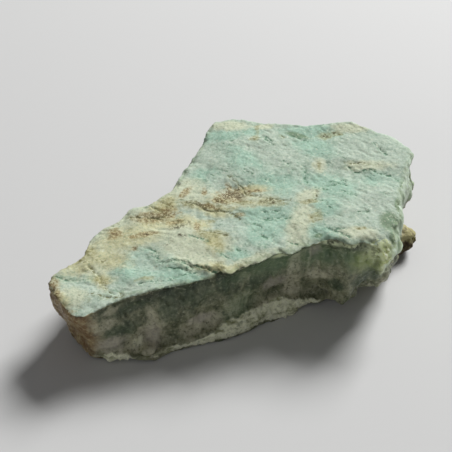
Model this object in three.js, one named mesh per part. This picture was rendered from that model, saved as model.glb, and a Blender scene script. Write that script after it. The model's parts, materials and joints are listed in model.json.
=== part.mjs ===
// A palm-sized piece of rough chrysoprase, modelled in millimetres with +Z up.
//
// The stone is a slab out of a vein. Its upper face is the flat, weathered skin of the vein, its
// sides are breaks through the glassy chalcedony, and it lies on the vein's other skin. It grew as
// one piece, so it is one closed mesh: a box with a fine grid on every face, whose upper face is
// drawn out to the outline of the skin, whose lower face is drawn in to the foot, and whose whole
// surface is then moved in and out by the relief that breaking and weather left.
//
// x runs to the right along the front, y runs away from the front, z is up. The corners are given
// in a layout of their own, and the finished stone is placed over the origin.

import * as THREE from "three";
import { ImprovedNoise } from "three/addons/math/ImprovedNoise.js";
import { mergeVertices } from "three/addons/utils/BufferGeometryUtils.js";

// Driving dimensions
const TOP_HEIGHT = 24.8; // height of the upper face above x = 0, y = 0
const RISE_TO_RIGHT = 0.1; // the slab thickens to the right
const RISE_TO_BACK = 0.04; // and a little to the back
const HEART = [4, -21]; // the sides stand out away from this point
const COLUMNS = 42; // cells along the front and the back
const ROWS = 28; // cells along the left end and the right end
const LAYERS = 10; // cells from the foot up to the rim
const WAIST_POWER = 0.6; // below 1, a side stands out soon above its foot and stays out
const FOOT_REACH = 0.35; // share of the width over which a raised foot lifts the underside
const SAME_POINT = 1e-3; // points nearer than this are one

// The four corners where the runs below meet. A corner has a place on the rim of the upper face,
// the place of its foot, and how far the side stands out (or, below zero, is hollowed) between.
const FRONT_LEFT = { rim: [-33.4, -55.6], foot: [-33.2, -52.4, 0], waist: 0.2 };
const FRONT_RIGHT = { rim: [39.4, -41.6], foot: [41.8, -32, 6.6], waist: 0.8 };
const BACK_RIGHT = { rim: [50.4, -4.6], foot: [50.6, -1, 0], waist: 0.6 };
const BACK_LEFT = { rim: [-42.3, -41], foot: [-40, -40.6, 0.5], waist: 0.8 };

// The runs of the outline. `at` is the line of the grid that a corner lies on.
const FRONT = [
  { at: 0, ...FRONT_LEFT },
  { at: 4, rim: [-26.5, -52.9], foot: [-26, -53.2, 0], waist: -0.6 },
  { at: 9, rim: [-17, -49.8], foot: [-17.3, -53, 0], waist: -1.3 },
  { at: 12, rim: [-11.6, -48.4], foot: [-12.4, -49.6, 0], waist: -1.4 },
  { at: 17, rim: [-3.3, -45.9], foot: [-4, -47.2, 0], waist: -1.5 },
  { at: 22, rim: [5.9, -41.9], foot: [5.8, -43.2, 0], waist: -1.5 },
  { at: 26, rim: [13.2, -39.2], foot: [13.4, -37.8, 0], waist: -1.4 },
  { at: 29, rim: [18.6, -37.4], foot: [19.2, -34.4, 0], waist: -1.2 },
  { at: 31, rim: [21.6, -34.4], foot: [25.4, -33, 0.6], waist: -0.6 },
  { at: 36, rim: [30.3, -37.4], foot: [31.3, -34.6, 2.6], waist: 0.2 },
  { at: 39, rim: [34.6, -37], foot: [36.5, -33.4, 5.2], waist: 0.4 },
  { at: COLUMNS, ...FRONT_RIGHT },
];
const RIGHT = [
  { at: 0, ...FRONT_RIGHT },
  { at: 5, rim: [41.8, -35.6], foot: [44, -27, 5], waist: 1.2 },
  { at: 10, rim: [43.6, -30], foot: [45.6, -22.5, 2.4], waist: 0.9 },
  { at: 16, rim: [45, -21.5], foot: [48, -15.5, 0], waist: 1.2 },
  { at: 22, rim: [48, -12], foot: [50, -8.5, 0], waist: 0.6 },
  { at: ROWS, ...BACK_RIGHT },
];
const BACK = [
  { at: 0, ...BACK_LEFT },
  { at: 3, rim: [-36.6, -34.6], foot: [-38.8, -33, 0], waist: 0.7 },
  { at: 5, rim: [-34.7, -29.9], foot: [-37, -27.6, 0.4], waist: 0.8 },
  { at: 7, rim: [-31.6, -25.4], foot: [-34.6, -22, 0.2], waist: 0.6 },
  { at: 10, rim: [-24.6, -18.4], foot: [-28.4, -13.4, 0], waist: 0.6 },
  { at: 12, rim: [-20.7, -17.2], foot: [-24, -11.6, 0], waist: 0.2 },
  { at: 14, rim: [-15, -11.9], foot: [-19, -8, 0], waist: -0.6 },
  { at: 18, rim: [-9.6, 1.9], foot: [-14, 3.8, 0], waist: 0.4 },
  { at: 22, rim: [-3.2, 18], foot: [-6.5, 18.5, 0.6], waist: 0.6 },
  { at: 24, rim: [2, 19.2], foot: [0.5, 21, 0.4], waist: 0.8 },
  { at: 28, rim: [13.5, 15.4], foot: [13, 18.8, 0.2], waist: 1.2 },
  { at: 31, rim: [22.7, 13], foot: [22.5, 17.5, 0], waist: 0.8 },
  { at: 35, rim: [36.4, 12.1], foot: [38, 15, 0], waist: 1.4 },
  { at: 38, rim: [44.3, 5.2], foot: [45.8, 8.2, 0.4], waist: 1.3 },
  { at: 40, rim: [48, 2.4], foot: [49, 4.5, 0.4], waist: 1 },
  { at: COLUMNS, ...BACK_RIGHT },
];
const LEFT = [
  { at: 0, ...FRONT_LEFT },
  { at: 9, rim: [-39, -51.8], foot: [-36.2, -49.4, 0], waist: 0.4 },
  { at: 18, rim: [-42.6, -46.8], foot: [-38.4, -45.4, 0], waist: 0.5 },
  { at: ROWS, ...BACK_LEFT },
];

// Steps in the skin, where a flake has come away on the side to the right of the line. Each drops
// by `drop` within `ramp` of its line, and comes back up over `reach`.
const LEDGES = [
  {
    name: "long ledge behind the front edge",
    line: [[-19.5, -36.4], [-15.6, -39.3], [-8.8, -41.4], [-2.9, -44.8]],
    drop: 1.5,
    ramp: 2.4,
    reach: 10,
  },
  {
    name: "short ledge near the tip",
    line: [[-27.4, -49], [-31.2, -44.5], [-32.9, -41]],
    drop: 1.2,
    ramp: 2.4,
    reach: 8,
  },
  {
    name: "stained ledge across the middle",
    line: [[-10.2, -16.7], [-3.2, -20.4], [3.6, -24]],
    drop: 1,
    ramp: 3,
    reach: 10,
  },
  {
    name: "thin ledge on the right",
    line: [[32.5, -5.9], [37.7, -10.1], [45.4, -10.2]],
    drop: 0.8,
    ramp: 3,
    reach: 8,
  },
];
const LEDGE_END = 3.5; // how far past its ends a ledge dies out

// Lumps that stand out of the stone and dents that are broken out of it: the surface within
// `radius` is pushed along `push`, in full at the middle.
const FORM_TOP = 0.2; // share of the radius that is pushed in full
const FORMS = [
  { name: "brown knob of host rock", at: [50, -10.8, 3.4], radius: 6.4, push: [4.1, -1, 0] },
  { name: "rounded lump on the right end", at: [50.5, -6, 17.6], radius: 5.4, push: [2.4, 0, 0] },
  { name: "ridge down the right end", at: [46.2, -25.5, 11], radius: 6.5, push: [0.6, -0.2, 0] },
  { name: "dent beside the glassy corner", at: [46.5, -16, 20], radius: 5, push: [-1.1, 0, 0] },
  { name: "glassy corner at the front right", at: [38, -39, 15], radius: 9, push: [0.4, -1, 0] },
  { name: "lobe under the front right", at: [30.5, -37, 7], radius: 6.5, push: [0, -1.8, -0.4] },
  { name: "burr on the tip", at: [-42.5, -46, 16.5], radius: 4.5, push: [-0.5, -0.2, 0] },
  { name: "scallop out of the front rim", at: [2.5, -44.5, 21], radius: 5, push: [0, 0.9, 0] },
  { name: "scallop at the front step", at: [20.5, -35.6, 24], radius: 4.5, push: [0, 0.7, -0.4] },
  { name: "shell-shaped break at the back", at: [17, 16, 15], radius: 15, push: [0, -2.6, 0] },
  { name: "shell-shaped break behind the tongue", at: [-28, -16, 13], radius: 9, push: [1, -1.5, 0] },
  { name: "hump on the back left", at: [-11, 8, 9], radius: 9, push: [-1.9, 0.5, 0] },
  { name: "hump at the back right", at: [41, 11, 13], radius: 8, push: [0.8, 1.3, 0] },
  { name: "hollow in the middle of the skin", at: [1.5, -14, 24.4], radius: 7, push: [0, 0, -0.9] },
  { name: "hollow in the skin of the tongue", at: [-17, -24, 22], radius: 7, push: [0, 0, -0.8] },
  { name: "hollow behind the right end", at: [29.7, 7.9, 28], radius: 5, push: [0, 0, -0.6] },
];

// Flat breaks: what stands out past the plane through `at` that faces `facing` is gone, within
// `reach`.
const BREAK_MIDDLE = 0.8; // share of the reach that is broken off in full
const BREAKS = [
  { name: "under the back", at: [18, 17, 6], facing: [0.1, 0.78, -0.61], reach: 36 },
  { name: "under the back left", at: [-12, 7, 7], facing: [-0.8, 0.26, -0.54], reach: 21 },
  { name: "under the tongue", at: [-36, -27, 5.5], facing: [-0.72, 0.42, -0.55], reach: 15 },
  { name: "down the back right", at: [48.5, 3.5, 11], facing: [0.7, 0.66, -0.28], reach: 13 },
  { name: "high on the back", at: [31, 14.2, 20], facing: [-0.12, 0.94, 0.32], reach: 8 },
  { name: "under the front right corner", at: [42, -33, 8], facing: [0.68, -0.2, -0.7], reach: 9 },
];

// The band of the lower skin along the foot of the front, between two columns, juts out like a lip.
// It is fullest at `layer`, and gone `spread` layers above and below that.
const LIP = { from: 3, to: 31, layer: 1, spread: 1.5, height: 1.3 };

// The flats that the stone lies on.
const PADS = [
  { at: [4, -22], radius: 9 },
  { at: [-28, -41], radius: 7.5 },
  { at: [40, -6], radius: 7.5 },
  { at: [4, 10], radius: 7 },
  { at: [12, -34], radius: 6 },
];
const PAD_DEPTH = 3; // deeper than the underside is rough, so that a flat is flat all over
const PAD_EDGE = 0.3; // share of the radius over which a flat's edge rises
const UNDERSIDE_HOLLOW = 0.7; // how far the rest of the underside stays off the ground, on average

// The rolling relief of each kind of surface: lumps of a height and a size, in layers. The seeds
// only keep the layers from lining up.
const ROLLS = [{ height: 0.9, size: 26, seed: 3.7 }, { height: 0.5, size: 11, seed: 8.2 }];
const SKIN = [{ height: 0.48, size: 5.5, seed: 1.3 }, { height: 0.32, size: 3.1, seed: 5.9 }];
const BREAK = [{ height: 1, size: 13, seed: 2.1 }, { height: 0.5, size: 4.5, seed: 4.6 }];
const RIBS = [{ height: 0.7, size: 6, seed: 7.4 }];
const RIB_STRETCH = 4; // the ribs of a break run up and down
const UNDERSIDE = [{ height: 1.1, size: 9, seed: 6.5 }, { height: 0.6, size: 4.2, seed: 9.1 }];
const HACKLE = { more: 0.9, facing: 0.5 }; // how much rougher the break is where it faces back
const SHEER = 0.35; // a surface that leans less than this out of the upright is all break
const LEVEL = 0.9; // and one that leans more than this is all skin or all underside

// Noise and small helpers
const perlin = new ImprovedNoise();
const { lerp, smoothstep } = THREE.MathUtils;

// The height at a point of some layers of rolling lumps.
function lumps(layers, { x, y, z }) {
  return layers.reduce((sum, { height, size, seed }) => {
    return sum + height * perlin.noise(x / size + seed, y / size - seed, z / size + seed);
  }, 0);
}

// One when `value` is at or below `near`, nothing at or above `far`, and smooth between.
function fade(value, near, far) {
  return 1 - smoothstep(value, near, far);
}

// The place on a run at one line of the grid: its rim, its foot and its waist.
function onRun(run, line) {
  const next = Math.max(1, run.findIndex((corner) => corner.at >= line));
  const [from, to] = [run[next - 1], run[next]];
  const share = (line - from.at) / (to.at - from.at);
  return {
    rim: new THREE.Vector2(...from.rim).lerp(new THREE.Vector2(...to.rim), share),
    foot: new THREE.Vector3(...from.foot).lerp(new THREE.Vector3(...to.foot), share),
    waist: lerp(from.waist, to.waist, share),
  };
}

// Fills the inside of an outline: the point at (column, row) of a sheet that is stretched between
// the front, the back and the two ends. `pick` takes the rim or the foot from a run's place.
function stretched(pick, column, row) {
  const [u, v] = [column / COLUMNS, row / ROWS];
  const acrossRows = pick(onRun(FRONT, column)).lerp(pick(onRun(BACK, column)), v);
  const acrossColumns = pick(onRun(LEFT, row)).lerp(pick(onRun(RIGHT, row)), u);
  const front = pick(onRun(FRONT, 0)).lerp(pick(onRun(FRONT, COLUMNS)), u);
  const back = pick(onRun(BACK, 0)).lerp(pick(onRun(BACK, COLUMNS)), u);
  return acrossRows.add(acrossColumns).sub(front.lerp(back, v));
}

// How far the skin has dropped at (x, y) because of one ledge.
function ledgeDrop({ line, drop, ramp, reach }, x, y) {
  const at = new THREE.Vector2(x, y);
  let nearest = { distance: Infinity };
  for (let i = 0; i + 1 < line.length; i++) {
    const start = new THREE.Vector2(...line[i]);
    const along = new THREE.Vector2(...line[i + 1]).sub(start);
    const offset = at.clone().sub(start);
    const length = along.length();
    const travelled = offset.dot(along) / length;
    const aside = -along.cross(offset) / length;
    const past = Math.max(-travelled, travelled - length, 0);
    const distance = Math.hypot(aside, past);
    if (distance < nearest.distance) nearest = { distance, aside, past };
  }
  const { aside, past } = nearest;
  const step = smoothstep(aside, -ramp / 2, ramp / 2) * fade(aside, ramp, reach);
  return drop * step * fade(past, 0, LEDGE_END);
}

// A point of the upper face: a tilted plane that rolls a little, with its ledges.
function topPoint(column, row) {
  const { x, y } = stretched((place) => place.rim, column, row);
  const at = new THREE.Vector3(x, y, 0);
  const plane = TOP_HEIGHT + RISE_TO_RIGHT * x + RISE_TO_BACK * y;
  const rolling = plane + lumps(ROLLS, at);
  const z = LEDGES.reduce((height, ledge) => height - ledgeDrop(ledge, x, y), rolling);
  return new THREE.Vector3(x, y, z);
}

// A point of the underside. Where the foot is off the ground, so is the underside next to it.
function basePoint(column, row) {
  const point = stretched((place) => place.foot, column, row);
  const inward = Math.min(column / COLUMNS, 1 - column / COLUMNS, row / ROWS, 1 - row / ROWS);
  point.z *= fade(inward, 0, FOOT_REACH);
  return point;
}

// The place that a side stands on, at (column, row).
function sidePlace(column, row) {
  if (row === 0) return onRun(FRONT, column);
  if (row === ROWS) return onRun(BACK, column);
  return column === 0 ? onRun(LEFT, row) : onRun(RIGHT, row);
}

// How far the side stands out at one layer: its waist, and the lip along the front.
function sideBulge(column, row, layer) {
  const standsOut = Math.sin((Math.PI * layer) / LAYERS) ** WAIST_POWER;
  const waist = sidePlace(column, row).waist * standsOut;
  const onLip = row === 0 && column >= LIP.from && column <= LIP.to;
  return onLip ? waist + LIP.height * fade(Math.abs(layer - LIP.layer), 0, LIP.spread) : waist;
}

// The blank: a box whose every grid point goes to its own place on the stone.
function makeBlank() {
  const box = new THREE.BoxGeometry(COLUMNS, ROWS, LAYERS, COLUMNS, ROWS, LAYERS);
  const position = box.getAttribute("position");
  for (let i = 0; i < position.count; i++) {
    const column = Math.round(position.getX(i) + COLUMNS / 2);
    const row = Math.round(position.getY(i) + ROWS / 2);
    const layer = Math.round(position.getZ(i) + LAYERS / 2);
    const point = basePoint(column, row).lerp(topPoint(column, row), layer / LAYERS);
    if (layer > 0 && layer < LAYERS) {
      const outward = new THREE.Vector3(point.x - HEART[0], point.y - HEART[1], 0).normalize();
      point.addScaledVector(outward, sideBulge(column, row, layer));
    }
    position.setXYZ(i, point.x, point.y, point.z);
  }
  box.deleteAttribute("normal");
  box.deleteAttribute("uv");
  return mergeVertices(box, SAME_POINT);
}

// How far the surface stands out at a point, by which way it faces there: a pitted skin above, a
// rolling, ribbed break on the sides, which is rougher at the back, and a rough skin below.
function relief(point, normal) {
  const up = smoothstep(normal.z, SHEER, LEVEL);
  const down = smoothstep(-normal.z, SHEER, LEVEL);
  const hackle = HACKLE.more * smoothstep(normal.y, 0, HACKLE.facing);
  const side = (1 - up - down) * (1 + hackle);
  const ribs = lumps(RIBS, { x: point.x, y: point.y, z: point.z / RIB_STRETCH });
  const base = lumps(UNDERSIDE, point) - UNDERSIDE_HOLLOW + onPad(point);
  return up * lumps(SKIN, point) + side * (lumps(BREAK, point) + ribs) + down * base;
}

// Presses the underside down to the ground on the flats.
function onPad(point) {
  return PADS.reduce((sum, { at, radius }) => {
    const distance = Math.hypot(point.x - at[0], point.y - at[1]);
    return sum + PAD_DEPTH * fade(distance, radius * (1 - PAD_EDGE), radius * (1 + PAD_EDGE));
  }, 0);
}

// How far the named lumps and dents push a point.
function formPush(point) {
  return FORMS.reduce((sum, { at, radius, push }) => {
    const distance = point.distanceTo(new THREE.Vector3(...at));
    const share = fade(distance, radius * FORM_TOP, radius);
    return sum.addScaledVector(new THREE.Vector3(...push), share);
  }, new THREE.Vector3());
}

// Takes a point that stands out past a flat break back onto its plane.
function breakOff(point, { at, facing, reach }) {
  const middle = new THREE.Vector3(...at);
  const normal = new THREE.Vector3(...facing).normalize();
  const share = fade(point.distanceTo(middle), reach * BREAK_MIDDLE, reach);
  const past = point.clone().sub(middle).dot(normal);
  return past > 0 ? point.addScaledVector(normal, -past * share) : point;
}

// The rough stone: the blank with its relief, pressed flat at z = 0 where it lies on the ground.
function makeStone() {
  const geometry = makeBlank();
  geometry.computeVertexNormals();
  const position = geometry.getAttribute("position");
  const normals = geometry.getAttribute("normal");
  const point = new THREE.Vector3();
  const normal = new THREE.Vector3();
  for (let i = 0; i < position.count; i++) {
    point.fromBufferAttribute(position, i);
    normal.fromBufferAttribute(normals, i);
    const height = relief(point, normal);
    point.add(formPush(point));
    BREAKS.forEach((plane) => breakOff(point, plane));
    point.addScaledVector(normal, height);
    position.setXYZ(i, point.x, point.y, Math.max(0, point.z));
  }
  geometry.computeVertexNormals();
  geometry.computeBoundingBox();
  return geometry;
}

const stone = new THREE.Mesh(
  makeStone(),
  new THREE.MeshStandardMaterial({ color: 0xa9c6b4, roughness: 0.75, metalness: 0 }),
);
stone.name = "chrysoprase";

// The stone stands over the origin, centred in x and y, with its flats on z = 0.
const middle = stone.geometry.boundingBox.getCenter(new THREE.Vector3());
stone.position.set(-middle.x, -middle.y, -stone.geometry.boundingBox.min.z);

const part = new THREE.Group();
part.add(stone);

export default part;
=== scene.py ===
# %% [markdown]
# # A palm-sized piece of rough chrysoprase
#
# The real stone is a slab broken out of a vein of green chalcedony. Its upper face is the vein's
# own weathered skin: matt, mint to cream, with small ledges, cracks and rusty stains. Its sides
# are fresh breaks through the glassy inside, olive and cloudy, with a pale granular crust along
# the foot. A brown knob of the host rock is still grown on at the right end.
#
# It is one solid, so it is one mesh here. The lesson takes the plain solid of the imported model,
# gives it a fine even surface, sculpts the relief that is too small for the solid, marks where
# each kind of surface lies, and builds one material that reads those marks. All places are in
# millimetres in the part's own frame: x along the stone, y from its front to its back, z up.

import json
import math

import bpy
import numpy as np
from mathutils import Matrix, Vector, noise

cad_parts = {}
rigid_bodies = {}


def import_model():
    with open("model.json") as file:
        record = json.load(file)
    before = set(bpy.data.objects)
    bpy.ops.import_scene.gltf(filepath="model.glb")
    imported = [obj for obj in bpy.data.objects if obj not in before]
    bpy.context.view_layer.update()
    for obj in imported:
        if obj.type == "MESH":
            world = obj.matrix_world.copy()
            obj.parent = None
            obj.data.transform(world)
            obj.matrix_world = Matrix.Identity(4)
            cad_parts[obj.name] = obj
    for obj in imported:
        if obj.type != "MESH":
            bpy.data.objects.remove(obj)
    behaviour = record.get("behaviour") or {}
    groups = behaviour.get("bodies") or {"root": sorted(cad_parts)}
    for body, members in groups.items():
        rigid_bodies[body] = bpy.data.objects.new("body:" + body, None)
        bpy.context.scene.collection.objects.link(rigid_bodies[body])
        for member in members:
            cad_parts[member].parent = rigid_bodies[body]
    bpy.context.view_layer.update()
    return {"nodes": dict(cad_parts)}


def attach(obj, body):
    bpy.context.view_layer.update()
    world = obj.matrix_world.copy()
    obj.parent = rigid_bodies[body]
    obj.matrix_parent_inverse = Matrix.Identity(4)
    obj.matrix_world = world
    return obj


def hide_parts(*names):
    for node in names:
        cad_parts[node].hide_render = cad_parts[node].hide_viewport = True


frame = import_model()
MM = 0.001  # one millimetre, in Blender's metres

# %% [markdown]
# ## A working copy of the solid
#
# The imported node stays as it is, because the physics model relies on it. A copy could be made
# with Duplicate, but that keeps the node's own labels, so a new object with a copy of its mesh is
# simpler. The mesh comes as loose triangles, so its doubles are merged before anything else.

# %% Copy and merge
SAME_POINT = 1e-6  # metres


def select_only(piece):
    """Selects one object and makes it the one that operators act on."""
    bpy.ops.object.select_all(action="DESELECT")
    piece.select_set(True)
    bpy.context.view_layer.objects.active = piece


solid = frame["nodes"]["chrysoprase"]
stone = bpy.data.objects.new("rough_stone", solid.data.copy())
bpy.context.scene.collection.objects.link(stone)
select_only(stone)
bpy.ops.object.mode_set(mode="EDIT")
bpy.ops.mesh.select_all(action="SELECT")
bpy.ops.mesh.remove_doubles(threshold=SAME_POINT)
bpy.ops.object.mode_set(mode="OBJECT")
print("merged copy:", len(stone.data.polygons), "faces")

# %% [markdown]
# ## An even surface to sculpt on
#
# The solid's facets are about two millimetres wide, and the smallest ledge on the skin is under
# one millimetre high. Subdividing would keep the long thin facets at the corners, so the mesh is
# rebuilt instead with the Remesh modifier in voxel mode, which gives small square faces all
# round. A Smooth modifier then takes the facets' edges away.

# %% Remesh and smooth
VOXEL = 0.39 * MM
SMOOTH_STRENGTH = 0.5
EVEN_PASSES = 12


def apply_modifier(piece, kind, **settings):
    """Adds a modifier with these settings and applies it, as the panel's own button does."""
    select_only(piece)
    modifier = piece.modifiers.new(kind.lower(), kind)
    for name, value in settings.items():
        setattr(modifier, name, value)
    bpy.ops.object.modifier_apply(modifier=modifier.name)


apply_modifier(stone, "REMESH", mode="VOXEL", voxel_size=VOXEL, adaptivity=0)
apply_modifier(stone, "SMOOTH", factor=SMOOTH_STRENGTH, iterations=EVEN_PASSES)
print("even surface:", len(stone.data.polygons), "faces")

# %% [markdown]
# The underside lies on the table, so it can do with fewer faces. Its faces are selected by the
# way that they look, and Decimate thins out only what is selected. That leaves more of them for
# the skin and the breaks.

# %% Thin out the underside
LOOKS_DOWN = -0.5
KEPT_UNDERNEATH = 0.2

facing = np.empty(len(stone.data.polygons) * 3, np.float32)
stone.data.polygons.foreach_get("normal", facing)
stone.data.polygons.foreach_set("select", facing[2::3] < LOOKS_DOWN)
bpy.ops.object.mode_set(mode="EDIT")
bpy.ops.mesh.select_mode(type="FACE")
bpy.ops.mesh.select_less()
bpy.ops.mesh.decimate(ratio=KEPT_UNDERNEATH)
bpy.ops.object.mode_set(mode="OBJECT")
print("thinned:", len(stone.data.polygons), "faces,", len(stone.data.vertices), "points")

# %% [markdown]
# ## Numbers to sculpt with
#
# The steps that follow move all points at once, so the mesh's places and directions are read into
# arrays and written back. Arrays in millimetres keep the numbers readable. One smooth step serves
# wherever something fades out.

# %% Arrays from a mesh and back


def read_points(piece):
    """The mesh's points, one row each, in millimetres."""
    flat = np.empty(len(piece.data.vertices) * 3)
    piece.data.vertices.foreach_get("co", flat)
    return flat.reshape(-1, 3) / MM


def write_points(piece, points):
    """Moves the mesh's points to these places, given in millimetres."""
    piece.data.vertices.foreach_set("co", (points * MM).ravel())
    piece.data.update()


def read_normals(piece):
    """The direction that each point of the mesh faces."""
    flat = np.empty(len(piece.data.vertices) * 3, np.float32)
    piece.data.vertex_normals.foreach_get("vector", flat)
    return flat.reshape(-1, 3).astype(float)


def soft_step(value, low, high):
    """0 up to low, 1 from high on, and a smooth rise between. High may be below low."""
    t = np.clip((value - low) / (high - low), 0, 1)
    return t * t * (3 - 2 * t)


# %% [markdown]
# Some places of the outline are off by up to three millimetres, because the solid is built from
# larger forms. The Grab brush would pull each into place. Here a list of pulls does the same, with
# a place, how far round it the pull is felt, and how far it goes.

# %% Pull the outline into place
PULLS = [  # place, reach and move, mm
    ((-47, -26, 19), 6, (-1, 0.8, 0)),  # tip of the tongue
    ((-38, -13, 20), 8, (-0.5, 0.6, 0)),  # back edge of the tongue
    ((-30, -3.5, 22), 6, (-0.6, 0.8, 0)),
    ((-17, 13, 23), 5, (-0.6, 0.3, 0)),  # side of the notch
    ((26, 29, 27), 7, (0, 0.7, 0.2)),  # back edge of the wide part
    ((9, 31, 26), 5, (0, 0.6, 0.2)),
    ((43.5, 14, 29), 8, (1.2, 0.6, 0)),  # right back corner
    ((40.5, 21, 29.4), 5, (0.9, 0.9, 0)),
    ((47, 5, 6), 5, (1.2, 0, 0.5)),  # knob
    ((36, -21, 18), 7, (-1.3, 0, 0)),  # right front corner, cut back below its tip
    ((33.5, -18, 10), 3.5, (0.3, 0, -1.6)),
    ((29.5, -16.5, 7.5), 4.5, (0, 1.4, 2.4)),  # gap between the corner and the lobe at the foot
    ((24.5, -19, 4.5), 3.5, (0, -1, -0.6)),  # the lobe
    ((21, -16.5, 4), 3, (0, 1.4, 1.2)),
    ((-27.5, -24.5, 20.5), 6, (0, 0, 0.5)),  # the skin left of the front ledge
    ((-34, -25, 20), 5, (0, 0, 0.4)),
    ((-31, -29, 19.5), 5, (0, 0, 0.5)),
    ((-15, -4, 22), 8, (0, 0, 0.5)),  # the skin by the left end of the middle ledge
    ((-22, 1, 22.5), 6, (0, 0, -0.3)),
    ((-15, -26.5, 20.5), 9, (0, 0, 0.9)),  # the skin in front of the front ledge
    ((-24.5, -24, 20.3), 8, (0, 0, 0.7)),
    ((-33, -35.5, 19), 7, (0, 1.3, 0.2)),  # the skin's front rim
    ((-26.5, -33.5, 20), 7, (0, 1.2, 0.2)),
    ((-19.5, -31.5, 21), 7.5, (0, 1.3, 0)),
    ((-12, -30.5, 22), 8, (0, 1.3, 0)),
    ((-41.5, -35.5, 19), 6, (0, -1.8, -0.4)),
    ((-4, -26, 23.4), 5.5, (0, -1.8, -0.4)),
    ((2.5, -26, 24), 7, (0, -1.6, -0.3)),
    ((10, -23.5, 24.6), 7.5, (0, -1.1, -0.3)),
    ((11, -21, 24.8), 4, (0, -1.2, -0.3)),
    ((16, -19.5, 25.4), 6, (0, -2.7, -0.4)),
    ((15.5, -18, 25), 4, (0, -2, -0.3)),
    ((-17, -31, 21.3), 4, (0, -0.6, -0.1)),
    ((20.5, -19.5, 25.8), 4, (0, 0.6, 0.1)),
    ((25.5, -20, 26.2), 4.5, (0, -1, 0)),
    ((-7, -27.5, 22.5), 3.5, (0, 1.4, 0.3)),
    ((34.5, -24.5, 27), 6, (0, 0.6, -2.8)),  # tip of the right front corner
    ((38, -18.5, 22), 5.5, (2.4, -0.6, 0)),  # ridge between the corner and the knob
    ((45, 1, 3.5), 4, (0, 1.2, 0)),  # the knob's front
    ((36.5, -19, 13), 5, (-1.8, 0, 0)),  # below the corner
    ((-47.5, -28, 12), 5, (-1, 0, 0)),  # left end
    ((19.5, -16.5, 1), 3.5, (0, -1.4, 0)),  # foot of the front
    ((-3, -28, 1), 7, (0, -0.8, 0)),
    ((-25.5, -35, 1), 5, (0, -1.3, 0)),
    ((-32, -36.5, 1), 3, (0, 0.8, 0)),
    ((-42.5, -33.7, 6), 6, (0.8, 0.4, 0)),  # left end, low down
]
points = read_points(stone)
for pulled_place, pulled_reach, pull in PULLS:
    away = np.linalg.norm(points - pulled_place, axis=1)
    points += soft_step(away, pulled_reach, 0)[:, None] * pull
write_points(stone, points)
print("pulls:", len(PULLS))

# %% [markdown]
# The rim of the skin is crisp along the front, but at the right corner and along the right end the
# skin rolls over into the glass, and two flakes of the skin run out to nothing where their ledges
# end. A Smooth modifier held to those places by a vertex group rounds them off, as a hand would
# with the sculpt mode's smooth brush.

# %% Weights as a vertex group, and distances
WEIGHT_STEPS = 20


def vertex_group(name, weights):
    """Stores weights from 0 to 1 as a vertex group, in even steps."""
    group = stone.vertex_groups.new(name=name)
    steps = np.round(np.clip(weights, 0, 1) * WEIGHT_STEPS).astype(int)
    for step in range(1, WEIGHT_STEPS + 1):
        members = np.nonzero(steps == step)[0].tolist()
        if members:
            group.add(members, step / WEIGHT_STEPS, "REPLACE")
    return group.name


def distance_to(spots, places):
    """How far each place is from the nearest of some spots, in mm."""
    return np.min([np.linalg.norm(places - spot, axis=1) for spot in spots], axis=0)


# %% Round off the right rim and the ends of two flakes
CORNER_RIM = [
    (18.5, -17, 26), (21.5, -19.7, 26), (25, -20.2, 26), (28, -20.6, 26), (31, -21.6, 26),
    (33.5, -23, 25), (35, -20.5, 25), (36.5, -16.5, 26), (38.5, -12, 26),
]
CORNER_TIP = (33.5, -22, 23)
RUN_OUTS = [(-24.8, -20), (-34.5, -26.5)]  # ends of the front and the tip ledge, in plan
SKIN_FOOT = 17  # every part of the skin is higher than this

x, y, z = points.T
rolled_side = soft_step(x, 33, 38) * soft_step(y, 26, 20) * (z > SKIN_FOOT)
rolled_front = soft_step(distance_to(CORNER_RIM, points), 4.5, 2)
rolled_corner = soft_step(distance_to([CORNER_TIP], points), 9, 5)
run_out = soft_step(distance_to(RUN_OUTS, points[:, :2]), 4.5, 2.5) * (z > SKIN_FOOT)
for name, where, passes in (
    ("rolled_side", rolled_side, 30), ("rolled_front", rolled_front, 45),
    ("rolled_corner", rolled_corner, 120), ("run_out", run_out, 200),
):
    group = vertex_group(name, where)
    apply_modifier(stone, "SMOOTH", factor=SMOOTH_STRENGTH, iterations=passes, vertex_group=group)
stone.vertex_groups.clear()
print("points rounded off:", int((rolled_side + rolled_front + rolled_corner + run_out > 0).sum()))

# %% [markdown]
# ## Which surface is which
#
# Everything that follows depends on where a point is: the skin looks up, the breaks stand upright
# and the underside looks down. The direction of the smoothed surface says which, before any small
# pit can turn a normal round. Where such a mark is left to spread along the mesh, it is halfway
# between 0 and 1 along a border, and that finds the skin's rim.

# %% Which way each point faces
smooth_points = read_points(stone)
x, y, z = smooth_points.T
face_x, face_y, face_z = read_normals(stone).T
PLANE_HEIGHT, RISE_RIGHT, RISE_BACK = 24.67, 0.1, 0.04  # the skin's own sloping plane
below_skin = PLANE_HEIGHT + RISE_RIGHT * x + RISE_BACK * y - z
skin = soft_step(face_z, 0.45, 0.75)
underside = soft_step(face_z, -0.35, -0.7)
sides = (1 - skin) * (1 - underside)
print("skin, sides, underside:", [round(float(m.mean()), 2) for m in (skin, sides, underside)])

# %% The rim of the skin
RIM_PASSES = 40  # makes the rim about two millimetres wide on either side
RIM_FOOT = 12  # the top of the crust also looks up, but is lower than this

edge_ends = np.empty(len(stone.data.edges) * 2, np.int32)
stone.data.edges.foreach_get("vertices", edge_ends)
edge_starts, edge_stops = edge_ends.reshape(-1, 2).T
neighbours = np.bincount(edge_ends, minlength=len(skin))


def spread(values, passes):
    """Lets values run into each other along the mesh, a little in each pass."""
    for _ in range(passes):
        around = np.bincount(edge_starts, values[edge_stops], len(values))
        around += np.bincount(edge_stops, values[edge_starts], len(values))
        values = 0.5 * values + 0.5 * around / neighbours
    return values


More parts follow.
